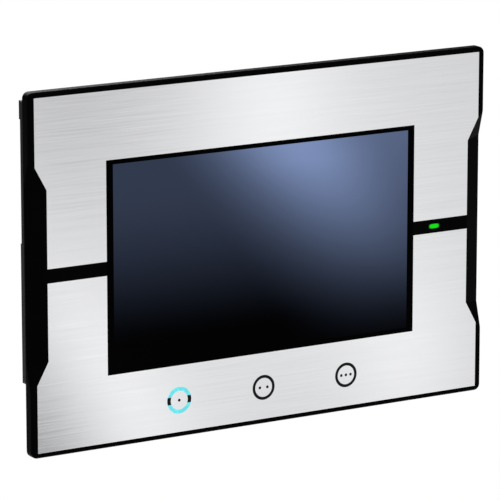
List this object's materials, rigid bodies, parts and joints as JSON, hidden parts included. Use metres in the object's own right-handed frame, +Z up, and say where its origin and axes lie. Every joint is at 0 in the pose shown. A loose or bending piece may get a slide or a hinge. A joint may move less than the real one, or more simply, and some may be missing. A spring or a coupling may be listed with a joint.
{
  "type": "hmi touch panel",
  "caption": "Wide panel-mounted operator terminal with brushed metal front plates, dark touch screen, round function keys, status light, stepped vented rear housing and clamps.",
  "frame": {"origin": "centre of the seat plane, the rear face of the bezel flange that rests on the cabinet door", "axes": "+X right seen from the front, +Y back into the cabinet, +Z up; the front faces -Y"},
  "size_m": [0.238, 0.0698, 0.1644],
  "materials": {
    "bezel_plastic": "fine textured black",
    "trim_aluminium": "long-grain horizontal brushing, clear anodised",
    "border_gloss": "gloss black print under a hard coat",
    "screen_glass": "smooth dark touch glass",
    "key_ink": "black fill",
    "key_glow": "lit cyan light guide",
    "light_green": "lit green light pipe",
    "light_guide": "clear acrylic",
    "seal_rubber": "moulded seal",
    "foam": "closed-cell foam",
    "sheet_steel": "zinc-plated sheet",
    "backlight_white": "white diffuser and frame",
    "cell_glass": "polariser over glass",
    "board_green": "solder mask",
    "chip_black": "moulded chip package",
    "can_metal": "capacitor can",
    "converter_black": "potted module case",
    "sink_aluminium": "extruded",
    "flex_amber": "polyimide film",
    "case_plastic": "textured dark housing",
    "cover_plastic": "textured dark housing",
    "screw_steel": "zinc-plated",
    "label_foil": "blank foil label",
    "plug_green": "terminal plug",
    "connector_black": "moulded connector",
    "connector_metal": "plated connector shell",
    "button_grey": "moulded button",
    "lever_white": "moulded lever",
    "card_blue": "blank card body",
    "battery_wrap": "heat-shrink wrap"
  },
  "bodies": {
    "housing": {"front_bezel": "bezel_plastic", "panel_gasket": "seal_rubber", "upper_trim_plate": "trim_aluminium", "lower_trim_plate": "trim_aluminium", "key_marks": "key_ink", "key_light_arcs": "key_glow", "key_light_guides": "light_guide", "key_sensor_board": "board_green", "status_light_pipe": "light_green", "window_border": "border_gloss", "touch_glass": "screen_glass", "touch_gasket": "foam", "lcd_frame": "sheet_steel", "lcd_cell": "cell_glass", "backlight_unit": "backlight_white", "chassis_plate": "sheet_steel", "inner_screws": "screw_steel", "board_posts": "screw_steel", "main_board": "board_green", "board_chips": "chip_black", "board_capacitors": "can_metal", "processor": "chip_black", "power_converter": "converter_black", "buzzer": "chip_black", "heat_sink": "sink_aluminium", "display_flex": "flex_amber", "rear_case": "case_plastic", "rear_cover": "cover_plastic", "case_screws": "screw_steel", "battery_holder": "connector_black", "battery": "battery_wrap", "battery_door_pin": "screw_steel", "expansion_socket": "connector_black", "rating_label": "label_foil", "network_ports": "connector_metal", "usb_host_ports": "connector_metal", "usb_device_port": "connector_metal", "serial_port": "connector_metal", "serial_insert": "connector_black", "serial_jack_nuts": "screw_steel", "power_socket": "connector_black", "end_switch_body": "connector_black", "card_slot": "sheet_steel", "clamp_brackets": "sheet_steel"},
    "clamp_screw_1": {"clamp_screw_1": "screw_steel"},
    "clamp_screw_2": {"clamp_screw_2": "screw_steel"},
    "clamp_screw_3": {"clamp_screw_3": "screw_steel"},
    "clamp_screw_4": {"clamp_screw_4": "screw_steel"},
    "clamp_foot_1": {"clamp_foot_1": "screw_steel"},
    "clamp_foot_2": {"clamp_foot_2": "screw_steel"},
    "clamp_foot_3": {"clamp_foot_3": "screw_steel"},
    "clamp_foot_4": {"clamp_foot_4": "screw_steel"},
    "power_plug": {"power_plug": "plug_green", "power_plug_screws": "screw_steel"},
    "battery_door": {"battery_door": "cover_plastic"},
    "expansion_cover": {"expansion_cover": "cover_plastic"},
    "reset_button": {"reset_button": "button_grey"},
    "end_switch_lever": {"end_switch_lever": "lever_white"},
    "memory_card": {"memory_card": "card_blue"}
  },
  "joints": [
    {"name": "clamp_foot_slide_1", "type": "slide", "parent": "housing", "child": "clamp_foot_1", "axis": [0, 1, 0], "range_m": [-0.0014, 0.00299]},
    {"name": "clamp_screw_turn_1", "type": "hinge", "parent": "clamp_foot_1", "child": "clamp_screw_1", "pos_m": [-0.062, 0.022, 0.0734], "axis": [0, 1, 0], "range_deg": [-720.5, 1540.5]},
    {"name": "clamp_foot_slide_2", "type": "slide", "parent": "housing", "child": "clamp_foot_2", "axis": [0, 1, 0], "range_m": [-0.0014, 0.00299]},
    {"name": "clamp_screw_turn_2", "type": "hinge", "parent": "clamp_foot_2", "child": "clamp_screw_2", "pos_m": [0.062, 0.022, 0.0734], "axis": [0, 1, 0], "range_deg": [-720.5, 1540.5]},
    {"name": "clamp_foot_slide_3", "type": "slide", "parent": "housing", "child": "clamp_foot_3", "axis": [0, 1, 0], "range_m": [-0.0014, 0.00299]},
    {"name": "clamp_screw_turn_3", "type": "hinge", "parent": "clamp_foot_3", "child": "clamp_screw_3", "pos_m": [-0.086, 0.022, -0.0734], "axis": [0, 1, 0], "range_deg": [-720.5, 1540.5]},
    {"name": "clamp_foot_slide_4", "type": "slide", "parent": "housing", "child": "clamp_foot_4", "axis": [0, 1, 0], "range_m": [-0.0014, 0.00299]},
    {"name": "clamp_screw_turn_4", "type": "hinge", "parent": "clamp_foot_4", "child": "clamp_screw_4", "pos_m": [0.086, 0.022, -0.0734], "axis": [0, 1, 0], "range_deg": [-720.5, 1540.5]},
    {"name": "power_plug_pull", "type": "slide", "parent": "housing", "child": "power_plug", "axis": [0, 0, -1], "range_m": [0, 0.0105]},
    {"name": "battery_door_hinge", "type": "hinge", "parent": "housing", "child": "battery_door", "pos_m": [0.056, 0.062, -0.025], "axis": [1, 0, 0], "range_deg": [0, 95]},
    {"name": "expansion_cover_pull", "type": "slide", "parent": "housing", "child": "expansion_cover", "axis": [0, 1, 0], "range_m": [0, 0.008]},
    {"name": "reset_press", "type": "slide", "parent": "housing", "child": "reset_button", "axis": [0, 0, 1], "range_m": [0, 0.0009], "stiffness_N_per_m": 250, "springref_m": -0.001},
    {"name": "end_switch_slide", "type": "slide", "parent": "housing", "child": "end_switch_lever", "axis": [0, 1, 0], "range_m": [0, 0.002]},
    {"name": "memory_card_slide", "type": "slide", "parent": "housing", "child": "memory_card", "axis": [1, 0, 0], "range_m": [0, 0.028]}
  ],
  "couplings": [
    {"joint": "clamp_screw_turn_1", "follows": "clamp_foot_slide_1", "rad_per_m": 8976},
    {"joint": "clamp_screw_turn_2", "follows": "clamp_foot_slide_2", "rad_per_m": 8976},
    {"joint": "clamp_screw_turn_3", "follows": "clamp_foot_slide_3", "rad_per_m": 8976},
    {"joint": "clamp_screw_turn_4", "follows": "clamp_foot_slide_4", "rad_per_m": 8976}
  ]
}
